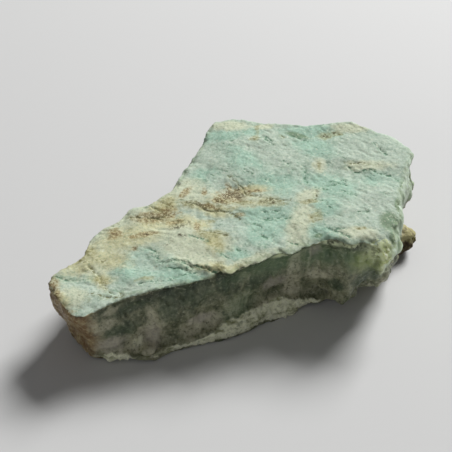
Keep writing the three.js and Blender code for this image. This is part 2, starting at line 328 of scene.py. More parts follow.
skin_nearby = spread(skin, RIM_PASSES)
rim = 4 * skin_nearby * (1 - skin_nearby)  # 1 along the rim, 0 away from it
front_rim = rim * soft_step(spread(face_y, RIM_PASSES), 0.3, 0.1)
high_up = z > RIM_FOOT
print("rim and front rim:", int(rim.sum()), int(front_rim.sum()), "points")

# %% [markdown]
# Some places on the sides have a look of their own. The narrow left end is sugary and rusty, the
# foot of the front wears a pale granular crust, which is higher in the middle and near the left
# end, and the knob of host rock is lumpy and brown. A place is a soft-edged region, and the same
# regions serve the relief and the colours.

# %% Mark the special places
LEFT_END_AT, LEFT_END_SLANT = -51.5, 0.35  # where the front turns round to the left end
CRUST_HEIGHT = 2.6  # mm above the ground, before its swells and dips
CRUST_SWELLS = [(3, 3.2, 17, 5), (-33, 1.4, 5, 1), (-25, -1.2, 6, 2)]  # middle, height, reach, flat top


def near(centre, radii, softness=0.5):
    """1 inside an ellipsoid round a place in mm, fading to 0 across its outer part."""
    reach = np.sqrt((((smooth_points - centre) / radii) ** 2).sum(1))
    return soft_step(reach, 1 + softness / 2, 1 - softness / 2)


knob = near((45.4, 6.0, 3.6), (5.0, 6.2, 5.6), 0.3)
past_end = LEFT_END_AT - (x + LEFT_END_SLANT * y)  # how far round the corner, mm
left_end = soft_step(past_end, -2, 2.5) * (1 - skin)
crust_top = np.full(len(x), CRUST_HEIGHT)
for middle, swell, reach, flat in CRUST_SWELLS:
    crust_top += swell * soft_step(np.abs(x - middle), reach, flat)
above_crust = z - crust_top
crust_reach = soft_step(x, 23, 19)  # the crust ends before the right front corner
crust = sides * soft_step(above_crust, 0.6, -1.2) * soft_step(face_y, 0.1, -0.3) * crust_reach
below_rim = soft_step(below_skin, 0.5, 4)  # keeps rough breaks from standing up past the skin
back = sides * soft_step(face_y, 0.0, 0.4) * below_rim
corner = near((33, -19, 17), (6.5, 6, 8)) * (1 - skin)
print("points of knob, left end, crust, back:", [int(m.sum()) for m in (knob, left_end, crust, back)])

# %% [markdown]
# ## Relief that weather and breaking left
#
# Broad lumps are already in the solid. What is missing is finer than its facets: the skin's grain,
# the shallow streaks along the way the vein grew, the worn front rim, the ribs and shell-shaped
# dents of the breaks, and the lumps of the crust, the knob and the sugary left end. Each could be
# sculpted by hand, but a Displace modifier with a procedural texture does the same evenly, and a
# vertex group keeps it to its own place. An empty that carries the texture's coordinates can be
# stretched and turned, which turns round lumps into streaks.

# %% A roughening tool


def roughen(name, where, grain, height, basis="BLENDER_ORIGINAL", depth=2, stretch=(1, 1, 1), turn=0):
    """Pushes the surface in and out by lumps of a grain and height in mm, where the weights say."""
    texture = bpy.data.textures.new(name, "CLOUDS")
    texture.noise_scale = grain * MM
    texture.noise_basis = basis
    texture.noise_depth = depth
    empty = bpy.data.objects.new(name, None)
    bpy.context.scene.collection.objects.link(empty)
    empty.scale = stretch
    empty.rotation_euler.z = math.radians(turn)
    bpy.context.view_layer.update()
    apply_modifier(
        stone, "DISPLACE", texture=texture, texture_coords="OBJECT", texture_coords_object=empty,
        strength=height * MM, vertex_group=vertex_group(name, where),
    )
    bpy.data.objects.remove(empty)
    stone.vertex_groups.clear()


# %% Skin: grain, and streaks that turn with the vein
LAMINATION_LEFT = -18  # degrees in plan, on the narrow left part
LAMINATION_RIGHT = -47  # and on the wide right part
LONG = (3, 1, 1)
on_right = soft_step(x, -20, -4)
roughen("skin_lumps", skin, grain=5, height=0.32)
roughen("skin_grain", skin, grain=1.4, height=0.28, depth=3)
streaked = {"grain": 1.2, "stretch": LONG}
roughen("streaks_left", skin * (1 - on_right), height=0.09, turn=LAMINATION_LEFT, **streaked)
roughen("streaks_right", skin * on_right, height=0.08, turn=LAMINATION_RIGHT, **streaked)
roughen("worn_rim", (0.3 * rim + 0.7 * front_rim) * high_up, grain=1.8, height=0.8, depth=3)

# %% Breaks: dents, ribs that run up and down, and grain
TALL = (1, 1, 4)
glassy = sides * (1 - left_end) * below_rim
roughen("dents", glassy, grain=4.5, height=0.8, basis="VORONOI_F1")
roughen("ribs", glassy * (1 - crust), grain=1.6, height=0.7, stretch=TALL)
roughen("break_grain", sides, grain=1.1, height=0.5, depth=3)
roughen("corner_lumps", np.maximum(corner, 0.6 * rolled_front), grain=2.6, height=1.1)
roughen("hackle", back, grain=3.0, height=1.2, depth=3)

# %% Sugary left end, crust, knob and underside
roughen("sugar", left_end, grain=1.5, height=0.9, basis="VORONOI_F1")
roughen("crust_lumps", crust, grain=1.7, height=0.9, basis="VORONOI_F1")
roughen("crust_grain", crust, grain=1.0, height=0.8, depth=3)
roughen("knob_lumps", knob, grain=2.2, height=1.3, basis="VORONOI_F1")
roughen("underside_grain", underside, grain=2.0, height=0.6, depth=3)
moved = np.linalg.norm(read_points(stone) - smooth_points, axis=1)
print("relief:", round(float(moved.mean()), 2), "mm on average,", round(float(moved.max()), 2), "at most")

# %% [markdown]
# ## Steps on the breaks, pits in the skin
#
# A break through this stone doesn't run smoothly: it jumps from one flat to the next in small
# steps. A Displace texture has no such steps, so noise is read at each point, cut into levels, and
# the point is moved along its own normal. The pits of the skin are made the same way, from noise
# drawn out along the vein's grain, of which only the crests are kept, and so are the chips of the
# front rim. Above the crust the break is hollow, so the crust stands out like a sill.

# %% Noise as numbers
SEED_STEP = 31.7  # how far a seed moves the noise, in lumps


def noise_at(places, size, seed=0):
    """Smooth noise between about -1 and 1 at each place, with lumps of a size in mm."""
    shift = SEED_STEP * seed
    return np.array([noise.noise(Vector(place)) for place in (places / size + shift).tolist()])


def along_grain(turn, stretch=4):
    """The points turned in plan and squeezed along the vein's grain, so that noise makes dashes."""
    angle = math.radians(turn)
    along = (x * math.cos(angle) + y * math.sin(angle)) / stretch
    aside = y * math.cos(angle) - x * math.sin(angle)
    return np.column_stack([along, aside, z])


def terraces(value, count, edge=0.3):
    """Cuts a smooth value into a number of flat levels with a steep edge between them."""
    level = np.floor(value * count)
    return (level + soft_step(value * count - level, 1 - edge, 1)) / count


# %% Cut the steps, the pits, the chips and the hollow
STEP_HEIGHT, PIT_DEPTH, CHIP_DEPTH, HOLLOW_DEPTH = 1.6, 0.16, 0.6, 1.4  # mm
STEP_LEVELS = 3
upright_points = smooth_points * (1, 1, 0.45)
broken = noise_at(upright_points, 7, 1) + 0.4 * noise_at(upright_points, 2.4, 2)
steps = terraces(broken, STEP_LEVELS)
pits = noise_at(along_grain(LAMINATION_LEFT), 1.0, 3) * (1 - on_right)
pits += noise_at(along_grain(LAMINATION_RIGHT, 2.4), 1.0, 4) * on_right
chipped = soft_step(noise_at(smooth_points, 2.8, 6), 0.05, 0.4) * front_rim * high_up
hollow = soft_step(above_crust, -0.8, 0.8) * soft_step(above_crust, 9, 2) * glassy
hollow *= soft_step(x, -34, -28)
moves = STEP_HEIGHT * steps * glassy - PIT_DEPTH * soft_step(pits, 0.25, 0.55) * skin
moves -= CHIP_DEPTH * chipped
moves -= HOLLOW_DEPTH * hollow * soft_step(face_y, 0, -0.4) * crust_reach
points = read_points(stone) + moves[:, None] * np.column_stack([face_x, face_y, face_z])
write_points(stone, points)
print("these move points by", moves.min().round(2), "to", moves.max().round(2), "mm")

# %% [markdown]
# ## Ledges
#
# A ledge is the broken edge of a thin flake of skin. The solid has each one as a gentle slope, so
# that its facets stay regular. Here the slope becomes a sharp step: the difference between a steep
# step and the gentle one is added along the ledge's own line, and a narrow groove is cut at its
# foot, where the flake lifts and dirt collects. It is what a sculptor does with a crease brush.

# %% Distance to a line


def wander(size, reach, seeds):
    """Moves in plan by up to a reach in mm, from one noise for x and one for y."""
    return np.column_stack([noise_at(smooth_points, size, seed) for seed in seeds]) * reach


# lines measured from here come out ragged
ragged_plan = smooth_points[:, :2] + (wander(1.8, 0.45, (7, 8)) + wander(0.8, 0.25, (9, 10)))


def measure_line(line):
    """Each point's distance in plan from a line, how far right of it, and how far past its ends."""
    line = np.array(line, float)
    best = np.full(len(smooth_points), 1e9)
    aside, past = np.zeros(len(best)), np.zeros(len(best))
    for start, end in zip(line[:-1], line[1:]):
        length = np.linalg.norm(end - start)
        along = (end - start) / length
        offset = ragged_plan - start
        travelled = offset @ along
        right = offset[:, 0] * along[1] - offset[:, 1] * along[0]
        beyond = np.maximum(np.maximum(-travelled, travelled - length), 0)
        distance = np.hypot(right, beyond)
        closer = distance < best
        best[closer], aside[closer], past[closer] = distance[closer], right[closer], beyond[closer]
    return best, aside, past


# %% Sharpen the ledges
SOFT_RAMP, SHARP_RAMP = 1.2, 0.2  # half the width of a slope, in the solid and once sharp, mm
LEDGE_END = 3  # how far past the ends of its line a ledge fades out
LIP_HEIGHT = 0.1  # how far the edge of a flake curls up
LEDGES = {  # how much of the solid's slope turns sharp, how much is filled in, and the groove, mm
    "front": {"sharp": 0.3, "filled": 0.6, "groove": 0.2, "line": [
        (-21.6, -22.2), (-20, -22.3), (-17.8, -21.8), (-15, -23), (-14, -24.4), (-12, -25),
        (-9.8, -25.6), (-8, -27)]},
    "tip": {"sharp": 0.35, "filled": 0.2, "groove": 0.35, "line": [
        (-33.5, -31.4), (-34.7, -30), (-36, -28.5), (-36.8, -26.5), (-37, -25), (-39.5, -23)]},
    "middle": {"sharp": 0.15, "filled": 0.3, "groove": 0.15, "line": [
        (-15.5, -0.5), (-13.5, -1.2), (-11.8, -2.8), (-8, -4.2), (-5, -4.8), (-4, -6), (-1.8, -8)]},
    "right": {"sharp": 0.12, "filled": 0.25, "groove": 0.1, "line": [
        (27.8, 10.4), (28.8, 8.6), (29.6, 7.4), (31, 7), (34, 7), (35.6, 5.6), (38.4, 4.8)]},
}
broken_up = 0.3 + soft_step(noise_at(smooth_points, 2.5, 11), -0.25, 0.3)
lowered = np.zeros(len(smooth_points))
for ledge in LEDGES.values():
    distance, aside, past = measure_line(ledge["line"])
    gentle = soft_step(aside, -SOFT_RAMP, SOFT_RAMP)
    steep = soft_step(aside, -SHARP_RAMP, SHARP_RAMP)
    ends = soft_step(past, LEDGE_END, 0)
    lowered += ledge["sharp"] * (steep - gentle) * ends * soft_step(distance, 3, 1.2)
    lowered -= ledge["filled"] * gentle * ends * soft_step(distance, 7, 1)
    groove = soft_step(np.abs(aside - 0.1), 0.4, 0.1) * soft_step(past, 1.5, 0) * broken_up
    lowered += ledge["groove"] * groove - LIP_HEIGHT * soft_step(np.abs(aside + 0.8), 1, 0) * ends

# %% [markdown]
# ## Cracks
#
# The skin is crossed by short cracks, mostly along the vein's grain. All have the same width and
# depth, and one step cuts them all. The strokes are listed by their colour, because the material
# fills the same lines with green or with olive-brown dirt later, and the lines of the ledges too,
# where the same dark line is also painted shadow of each step.

# %% Strokes on the skin
TEAL_STROKES = [  # points in plan, mm
    [(-26, -17), (-24.3, -17.7), (-22.8, -18.6), (-22.4, -19.6), (-22.4, -21.6), (-21.2, -22.2)],
    [(-24, -19.5), (-22.5, -20.3)],
    [(-20.5, -24.2), (-18, -24.6), (-15.5, -25.2), (-13.5, -26.2)],
    [(-27, -29.6), (-24, -28.8), (-21, -28.6)],
    [(-18.5, -27.8), (-15.5, -27), (-12.8, -26.8)],
    [(-21, -22.9), (-18, -22.5), (-15.6, -23.6), (-14, -25)],
    [(-14.5, -13.5), (-13, -14), (-11.8, -14.6), (-10.2, -15.8)],
    [(-7.3, -20), (-6.2, -21.5), (-4.8, -22.8)],
    [(22, 2.3), (23.5, 2.2), (24.5, 3), (26.5, 2.5)],
    [(22.5, 4.2), (24.5, 3)],
    [(25.3, 4.7), (26.5, 4.3), (26.6, 2)],
    [(16.2, 11), (15.7, 6.5), (16.2, 4.5)],
    [(18.3, 2), (19.5, 1.5), (21, 0.7)],
    [(19.7, -14.7), (21.2, -16), (23, -17), (24.5, -18.3), (25, -19)],
    [(21.5, -15.7), (24, -15.8)],
    [(0, 11), (1.5, 9.5)],
    [(5, 25), (6.2, 23.6), (7.7, 21.2)],
    [(6, 25), (7.5, 23)],
    [(4.5, 7.2), (6, 6)],
    [(25.5, -1), (28, -3)],
    [(19.5, -4), (20.5, -5.5), (21.5, -7.5)],
    [(4, -6.1), (4.8, -6.4)],
    [(6.5, -6.2), (8, -6.7)],
    [(4, -9.2), (4.5, -9.7)],
    [(5, -9), (5.8, -9.6)],
    [(6.8, -9.3), (8.2, -9.2)],
    [(10, -9.8), (10.8, -9.7)],
    [(2, -10.8), (3.5, -12.3)],
    [(3.6, -15.5), (4.6, -16.5)],
    [(3, -19.2), (4, -20)],
    [(-2.5, -20), (-1.2, -20.6)],
    [(10.4, -18.6), (12, -19.4)],
    [(12.9, -4), (12.7, -6)],
    [(28.7, -10), (30.5, -9.7)],
    [(37, 5), (38.5, 4.2), (39.8, 2)],
    [(0, 29.5), (-0.6, 28)],
    [(13.7, 25), (16.5, 22.8), (17.5, 22)],
    [(36, 18), (37.5, 15), (38.5, 12.8)],
    [(10.7, 13.5), (12, 12)],
    [(-47.8, -25.2), (-45, -26.3), (-42, -27), (-39, -26.7)],
]
OLIVE_STROKES = [
    [(-10.3, -12), (-9, -12.4), (-7.5, -13.2), (-5.3, -14.4)],
    [(-38.5, -32), (-36.5, -31.8), (-35, -33), (-32.5, -33.3), (-30, -32.8)],
    [(-31, -31.5), (-30.3, -32.5)],
    [(-39.5, -33.8), (-38.3, -34.2)],
    [(-1, 4), (0, 1.6), (3, 0.3), (6, -1.4), (8.5, -2.4), (11.5, -2.6)],
    [(15.5, -4), (17.5, -3.7), (18.3, -2.2), (18.4, 0)],
    [(-4.5, 8.8), (-2.6, 6.8), (-1.2, 4.8)],
    [(-26, -1), (-24.6, -2.6), (-23, -3.5)],
    [(-31, -5.6), (-28, -5.8), (-24, -6), (-21, -5.2)],
    [(10.6, 25.2), (10.9, 24.6)],
    [(-18.5, -7.4), (-16.5, -7.5)],
    [(-46, -19.6), (-40, -21), (-36, -20.6)],
    [(27.5, 11), (30, 10.6), (33, 10.2)],
]
STROKE_WIDTH, STROKE_DEPTH = 0.5, 0.16  # half the width of a crack, and its depth, mm

# %% Cut the strokes


def nearest_line(lines):
    """Distance from the nearest of these lines, and on which side of it each point is, in mm."""
    measured = [measure_line(line) for line in lines]
    distances = np.array([m[0] for m in measured])
    nearest = distances.argmin(axis=0)
    aside = np.array([m[1] for m in measured])
    each = np.arange(len(nearest))
    return distances[nearest, each], aside[nearest, each]


# the ledges' lines go with the cracks: there the dark line is painted shadow of the step as well as dirt
green_lines = TEAL_STROKES + [LEDGES["front"]["line"], LEDGES["right"]["line"]]
brown_lines = OLIVE_STROKES + [LEDGES["tip"]["line"], LEDGES["middle"]["line"]]
teal_distance, teal_aside = nearest_line(green_lines)
olive_distance, olive_aside = nearest_line(brown_lines)
strokes = np.minimum(nearest_line(TEAL_STROKES)[0], nearest_line(OLIVE_STROKES)[0])
lowered += STROKE_DEPTH * soft_step(strokes, STROKE_WIDTH, 0.1) * broken_up

points = read_points(stone)
points[:, 2] -= lowered * skin
write_points(stone, points)
print("strokes:", len(TEAL_STROKES) + len(OLIVE_STROKES), "deepest", round(float(lowered.max()), 2), "mm")

# %% [markdown]
# ## The foot stands on the table
#
# Roughening may have pushed the underside through the ground. The stone has to rest where the
# solid rests, so whatever is below the ground is brought up to it.

# %% Level the underside
points[:, 2] = np.maximum(points[:, 2], 0)
write_points(stone, points)
bpy.ops.object.shade_smooth()
print("lowest and highest point, mm:", points[:, 2].min().round(2), points[:, 2].max().round(2))

# %% [markdown]
# ## Marks for the material
#
# The colours follow places on this one stone, so they can't come from noise alone. Each kind of
# colour gets a mark: a number on every point that is 1 in the middle of a patch, 0 on its edge and
# below 0 outside. The material later bends that edge with fine noise, so a smooth oval becomes a
# ragged patch, sharper than the points it is stored on. Painting by hand in Vertex Paint would
# work as well, but a list of ovals is easier to change.

# %% A tool for oval patches
PLAN, FRONT, FROM_RIGHT = (0, 1), (0, 2), (1, 2)  # the two axes that each view shows


def patches(ovals, axes=PLAN):
    """How deep each point is in the nearest of some ovals: place, half length and width, turn."""
    best = np.full(len(smooth_points), -1.0)
    for across, up, long, wide, turn in ovals:
        angle = math.radians(turn)
        a, b = smooth_points[:, axes[0]] - across, smooth_points[:, axes[1]] - up
        along = (a * math.cos(angle) + b * math.sin(angle)) / long
        aside = (b * math.cos(angle) - a * math.sin(angle)) / wide
        best = np.maximum(best, 1 - np.hypot(along, aside))
    return best


def mark(name, values):
    """Stores one number for every point of the mesh under a name that a material can read."""
    attribute = stone.data.attributes.new(name, "FLOAT", "POINT")
    attribute.data.foreach_set("value", np.asarray(values, np.float32))


# %% Patches on the skin, in plan
SKIN_PATCHES = {
    "glass_spots": [  # where the skin is worn thin and green glass shows
        (35.6, -13.8, 2.6, 3.8, -10), (38.6, -8, 1, 2.4, 0), (41, -3, 1, 5, 0),
        (36.2, -18.6, 1.4, 2, 0), (15, 25.4, 4, 1.2, -30), (17.5, -17.2, 1.2, 0.8, 0),
    ],
    "bare": [  # where the skin has come off the front corner
        (34.5, -23, 4.4, 3, -20), (37.8, -19.5, 1.2, 3, 25),
    ],
    "cream": [
        (-37, -17, 13, 6.5, 40), (-30, -8, 13, 6, 28), (-14, -16.5, 9.5, 6, -10),
        (-21, -10.5, 10, 6, 0), (-12, -22.5, 9, 3.5, -22), (13.4, -12, 9.5, 2.9, 76),
        (16, -1.5, 4, 2.4, 40), (-6, 0, 13, 4.5, 0), (-17, 4, 6, 5, 40), (2, -1.5, 6, 2.5, -10),
        (-1, -25.5, 10, 2.4, 24), (-7, -16.5, 3, 4.5, 20), (33, 9.3, 6.4, 2, -8),
        (27.5, -17.6, 5, 2.2, -10), (-4, 32, 6, 2.4, -10), (5.5, 30.4, 3, 1.4, 0),
        (-43, -32.5, 3.5, 4, 60), (20, 11, 1.8, 3, 0), (30, 26.5, 5, 2, -15), (-14, -9.5, 5, 3, 0),
        (-37, -23, 5, 2.4, 15), (-35.8, -28, 1.4, 3, 15),
    ],
    "yellowish": [
        (-43, -19.5, 6, 3, 45), (-45.5, -33, 3, 1.6, -45), (-36, -20, 6, 3, -15),
        (-31, -13, 8, 4, 15), (-8.5, -16, 2, 4, 15), (-36, -26.6, 3, 1.8, -10),
        (-4, -26.6, 4, 1.4, 10), (-22, -1.5, 4, 3, 30), (-8, -5, 4, 1.5, -20),
        (-12.2, -8.9, 3, 2, 0), (-18.5, -7.6, 4.5, 2.6, 0), (-25, -8, 4, 2, 10),
        (-7.5, -25.6, 3, 1.6, -20), (-40, -22, 4, 2, 30), (1.5, 3.6, 4, 1.6, -5),
    ],
    "aqua": [
        (-24, -23, 10, 4.4, -14), (-26, -19.6, 5, 2.6, 8), (-30, -24, 5, 4, 0),
        (-17, -26.5, 8, 2.6, -14), (-42.5, -26.3, 6, 1.4, -8), (5, -8.6, 8.5, 4.6, -10),
        (3.5, -14, 5.5, 5, 0), (-3, -21.5, 5, 2.4, -30), (22, 2.4, 8, 4.5, -30),
        (8, 4.5, 8, 5, -30), (-11, 10.5, 4, 3, -20), (-7, 27.3, 7, 2.6, -5), (2, 28, 3.4, 2, 0),
        (19, 26.5, 8, 3.4, -10), (-1, 15.5, 8, 4, -45), (20, -6.5, 4, 4, -50), (20, 19, 7, 4, -30),
        (36, 3, 6, 3, -20), (18, -16, 5, 2.4, -30),
    ],
    "chalky": [
        (-43.5, -33.5, 4, 2.4, -30), (-38, -35.5, 5, 1.8, 10), (-34, -27, 3, 2, 0),
        (-8, 8.6, 3.5, 2, -40), (1.5, 10.5, 3, 2, -40), (-41, -29, 5, 2.6, -12),
        (-6.5, -10, 6.5, 3.6, -10), (-16, -4, 5, 3, -10), (38, 14, 6, 8, 0), (33, -8, 4, 8, 10),
        (38, -2, 4, 8, 0), (31, 16, 7, 4, -20), (9, 17, 6, 4, -30), (-12, 20, 3, 9, 70),
        # the oval at (-24.5, -21.4) is partly its own pale colour and partly painted light, making up for
        # the shade of its slope
        (35.5, -18, 2, 4, 80), (15, 0.5, 3, 3, 0), (-24.5, -21.4, 6.4, 3.6, -8),
        (-1.5, -13, 1.5, 6, 0), (-36, -35, 7, 1.6, 14),
    ],
}
for name, spots in SKIN_PATCHES.items():
    mark(name, patches(spots))

# %% Stains on the skin, in plan
STAINS = {
    "rust": [
        (-24.5, -5.5, 5, 1.6, 8), (-21.5, -4.5, 3, 1.8, 20), (-28, -6.8, 0.8, 0.8, 0),
        (-34, -11.2, 1.8, 1.7, 0), (-26, -12, 2.6, 0.8, 10), (-29.2, -13, 1.2, 0.6, 0),
        (-16.5, 3.4, 2.6, 0.9, 60), (-11.2, 3.2, 0.7, 1.4, 0), (-13, -10, 0.8, 1.6, 0),
        (-7, -0.6, 2.4, 1.2, -25), (-3.6, 2.2, 4.2, 2.7, 0), (-4.6, 4.8, 1.6, 0.9, -60),
        (2, 2.6, 2.6, 0.7, -5), (-1.8, -6.6, 1.4, 0.9, -20), (-10, -2.6, 3, 1, -20),
        (-28.6, -17, 0.8, 0.7, 40), (-18.5, -7.6, 2, 0.9, 0), (-47.8, -27.5, 1.2, 3, 10),
        (-46.6, -31.6, 1.2, 2.6, 20), (-43.4, -37.4, 1.8, 1.2, 0),
    ],
    "olive": [
        (-8, -2.7, 5, 1.2, -15), (6, -2.9, 4, 1.5, -8), (-8.5, -16, 1.8, 3.8, 15),
        (-8, -13.2, 3, 1, -20), (22.8, 24.6, 2, 1.6, 0), (26, 25, 1.5, 0.8, -20),
        (-9.3, -7.8, 1.2, 1, 0), (17.4, -10.4, 1.6, 2.2, -30), (16.5, -3.9, 2.5, 0.8, 0),
        (2.6, 24.6, 1.5, 1.2, 40), (-21, -1.5, 4, 2, 30), (-14, -1.5, 4, 1.2, -20),
        (20, 11, 0.5, 1.3, 0), (-11, -13.4, 2.4, 1.6, -20), (3.6, 29, 0.6, 3, 0),
        # the oval at (-36.4, -26.8) is painted shade along the edge of the tip flake, not a stain
        (28.2, -16, 1.3, 0.6, 0), (0, -2.2, 4, 0.8, -10), (-36.4, -26.8, 2, 1, -20),
        (-25, -27.8, 2, 0.7, 10), (-41.5, -18.2, 3.4, 2, 40), (-7, -0.6, 2.8, 1.3, -25),
        (-7.2, -26, 2.2, 1, -20), (-11, -25.4, 2, 0.7, -20),
    ],
    "dark": [
        (-2.4, 1.8, 2.4, 1.1, -20), (-5.6, 2, 0.8, 1.8, 0), (-2.2, 4.4, 1.4, 0.5, -60),
        (-13.4, -1.2, 2.6, 0.9, -25), (-11.3, -2.6, 1.2, 0.7, -40), (-17.6, -9.6, 3, 1.2, 15),
        (-17, -13.2, 1.2, 0.7, -10), (-17.6, -7.5, 1.2, 0.5, 0), (-2.4, -7.2, 0.6, 0.5, -40),
        (6.4, -2.6, 2, 0.9, -10), (-24.6, -5.6, 2.6, 0.6, 0), (-25.6, -12, 1.4, 0.5, 0),
        (-6.6, -1.2, 1.6, 0.7, -25), (22.8, 24.4, 1.1, 0.9, 0), (25.8, 25.2, 0.8, 0.4, -20),
        (-19.7, -13.9, 0.35, 0.35, 0), (-20.8, -16.2, 0.6, 0.35, 0), (-28.4, -16.6, 0.5, 0.7, 0),
        (0, 2.8, 0.8, 0.5, 0), (-18.7, 7.6, 1.4, 1, 60), (3, 0.6, 1.2, 0.35, -10),
    ],
}
for name, spots in STAINS.items():
    mark(name, patches(spots))

# %% Patches on the front break, across and up
FRONT_PATCHES = {
    "deep": [  # dark green glass
        (31, 15.5, 2.6, 3.4, 0), (29.5, 19.5, 2, 2, 0), (33, 13, 2, 1.6, 0),
        (4.5, 19.5, 4.5, 4.2, 0), (-19.5, 16, 2.6, 5, 0), (-13, 17, 5, 4, 0), (-5, 18.5, 3.4, 4, 0),
        (20, 19.5, 3, 3, 0), (3.2, 14.5, 3, 2.8, 0), (-28.6, 10.5, 2.4, 2, 0),
        (27, 21, 2.4, 1.6, 0), (29.4, 11.6, 2.4, 2, 0), (23, 10.5, 2, 1.6, 0),
        (-32, 11, 5, 1.8, 12), (-28, 17, 5, 1.6, 10),
    ],
    "clouds": [
        (-36.4, 9.5, 1.8, 6, 0), (-37.5, 14.5, 2, 2, 0), (-33, 17.5, 3, 1, 12),
        (-23, 6.4, 3.4, 5, 10), (-31, 3.4, 3.6, 1.6, 0), (-21.4, 5, 2, 2.4, 0),
        (12, 19, 1.6, 4.4, 0), (12.2, 8, 2.2, 5, 0), (-23.4, 12.5, 1.2, 3, 10),
        (-38, 16.8, 2.2, 2.2, 0), (-34.8, 13.3, 1.6, 2.4, 0), (11, 14, 0.6, 4, 0),
        (15.6, 19, 0.4, 4, 0), (0.4, 17.3, 0.5, 1.6, 0), (-14, 6, 3.4, 2.4, 0),
        (-34.5, 7.2, 2.8, 2, 10), (-2, 9.6, 3.6, 3.2, 0), (5, 4.5, 4.5, 1.6, 8),
        (18.4, 12, 3, 1.6, 0), (-9.6, 6.4, 3.8, 2.6, 0), (-26.5, 5, 3, 1.2, 10),
        (8, 22.6, 2, 0.8, 0),
    ],
    "lilac": [
        (-34, 6.6, 4, 2.2, 10), (-23.4, 6, 2.2, 3.2, 10), (-12, 7.4, 3.4, 1.4, -10),
        (7.5, 11.5, 3, 2.4, 0), (16.8, 21.5, 1.5, 2.6, 0),
    ],
    "corner": [  # the thin corner that light comes through
        # painted glow: this patch's green is also lighter than the glass, standing in for that light
        (33.8, 21.5, 3.4, 4.6, 0), (29.4, 20, 3, 3.6, 0),
    ],
    "green": [  # pale green glass
        (7, 20, 10, 4, 5), (16.5, 19.5, 6, 4.4, 0), (-1.5, 8.6, 4, 4, 0), (27, 20.5, 6, 4, 0),
    ],
    "corner_top": [  # cream lumps below the rim
        # painted glow: these lumps are painted lighter than their own cream
        (33, 24, 3.6, 3.4, 0), (35, 20, 1.6, 5, 0), (20.5, 24.8, 2, 0.7, 0),
        (25.5, 25.2, 3, 0.7, 0), (8.2, 22.9, 2, 0.8, 0),
    ],
}
looks_ahead = soft_step(face_y, 0.05, -0.35) * 2 - 1  # 1 on the front, -1 away from it
for name, spots in FRONT_PATCHES.items():
    mark(name, np.minimum(patches(spots, FRONT), looks_ahead))

# %% Patches on the right end, from front to back and up
SIDE_PATCHES = {
    "side_green": [  # worn through to green glass
        (-3.5, 26, 2.6, 2.6, 0), (-12.5, 26.6, 3, 1.4, 0), (-16.8, 25.4, 2, 1.6, 0),
        (14, 22, 5, 4, 0),
    ],
}
at_right_end = soft_step(x, 34, 36) * 2 - 1
for name, spots in SIDE_PATCHES.items():
    mark(name, np.minimum(patches(spots, FROM_RIGHT), at_right_end))

# %% Where the kinds of surface and the lines are
rolled_back = soft_step(face_y, -0.1, 0.3) * soft_step(below_skin, 3, 1)  # skin bent down at the back
for name, values in {
    "skin": face_z + 0.5 * rolled_back, "below_skin": below_skin, "faces_right": face_x,
    "front_rim": front_rim, "past_end": past_end, "crust": crust, "knob": knob,
    "teal_distance": teal_distance, "teal_aside": teal_aside,
    "olive_distance": olive_distance, "olive_aside": olive_aside,
}.items():
    mark(name, values)
print("marks:", [a.name for a in stone.data.attributes if a.data_type == "FLOAT"])

# %% [markdown]
# ## The material
#
# Chalcedony is a body of tiny quartz fibres: waxy and a little see-through where it is fresh, matt
# and chalky where it has weathered. One Principled shader can be both, if its colour, roughness
# and subsurface follow the marks. All noise is in millimetres: a Mapping node scales the object's
# own coordinates, so a grain size in a node is a real size on the stone.

# %% Small tools for nodes
material = bpy.data.materials.new("chrysoprase")
material.use_nodes = True
tree = material.node_tree
tree.nodes.clear()
stone.data.materials.clear()
stone.data.materials.append(material)


def node(kind, inputs=None, **settings):
    """Adds a node, sets its options, and fills or links its inputs by name or number."""
    made = tree.nodes.new("ShaderNode" + kind)
    for name, value in settings.items():
        setattr(made, name, value)
    for key, value in (inputs or {}).items():
        if isinstance(value, bpy.types.NodeSocket):
            tree.links.new(value, made.inputs[key])
        else:
            made.inputs[key].default_value = value
    return made


def colour(red, green, blue):
    """A colour as an eye or a photo sees it, 0 to 255, turned to the linear values of a shader."""
    shares = [c / 255 for c in (red, green, blue)]
    linear = [c / 12.92 if c <= 0.04045 else ((c + 0.055) / 1.055) ** 2.4 for c in shares]
    return (*linear, 1)


def sums(operation, a, b=0):
    """One step of arithmetic on one or two values."""
    return node("Math", {0: a, 1: b}, operation=operation).outputs[0]


def plus(value, *others):
    """Values added up."""
    for other in others:
        value = sums("ADD", value, other)
    return value


def times(value, *others):
    """Values multiplied."""
    for other in others:
        value = sums("MULTIPLY", value, other)
    return value


def rise(value, low, high):
    """0 up to low, 1 from high on, and a smooth rise between. High may be below low."""
    return node("MapRange", {0: value, 1: low, 2: high}, interpolation_type="SMOOTHSTEP").outputs[0]


def between(share, first, second):
    """A number that goes from the first to the second as the share goes from 0 to 1."""
    return node("Mix", {0: share, 2: first, 3: second}).outputs[0]


def cover(under, over, share, most=1):
    """Covers one colour with another by a share, where the cover itself may be see-through."""
    if most != 1:
        share = times(share, most)
    return node("Mix", {0: share, 6: under, 7: over}, data_type="RGBA").outputs[2]


def marked(name):
    """The number that every point of the mesh carries under this name."""
    return node("Attribute", attribute_name=name).outputs["Fac"]


# %% Noise in real sizes
place = node("TexCoord").outputs["Object"]
in_mm = node("Mapping", {"Vector": place, "Scale": (1 / MM,) * 3}).outputs[0]
side_to_side = node("SeparateXYZ", {0: in_mm}).outputs[0]
NOISE_MIDDLE = 0.5


def grain(size, detail=2.0, roughness=0.5, at=None):
    """Noise with lumps of a size in mm, around its middle value."""
    inputs = {"Vector": at or in_mm, "Scale": 1 / size, "Detail": detail, "Roughness": roughness}
    return node("TexNoise", inputs).outputs[0]


def swing(value):
    """Noise taken down to lie around 0."""
    return sums("SUBTRACT", value, NOISE_MIDDLE)


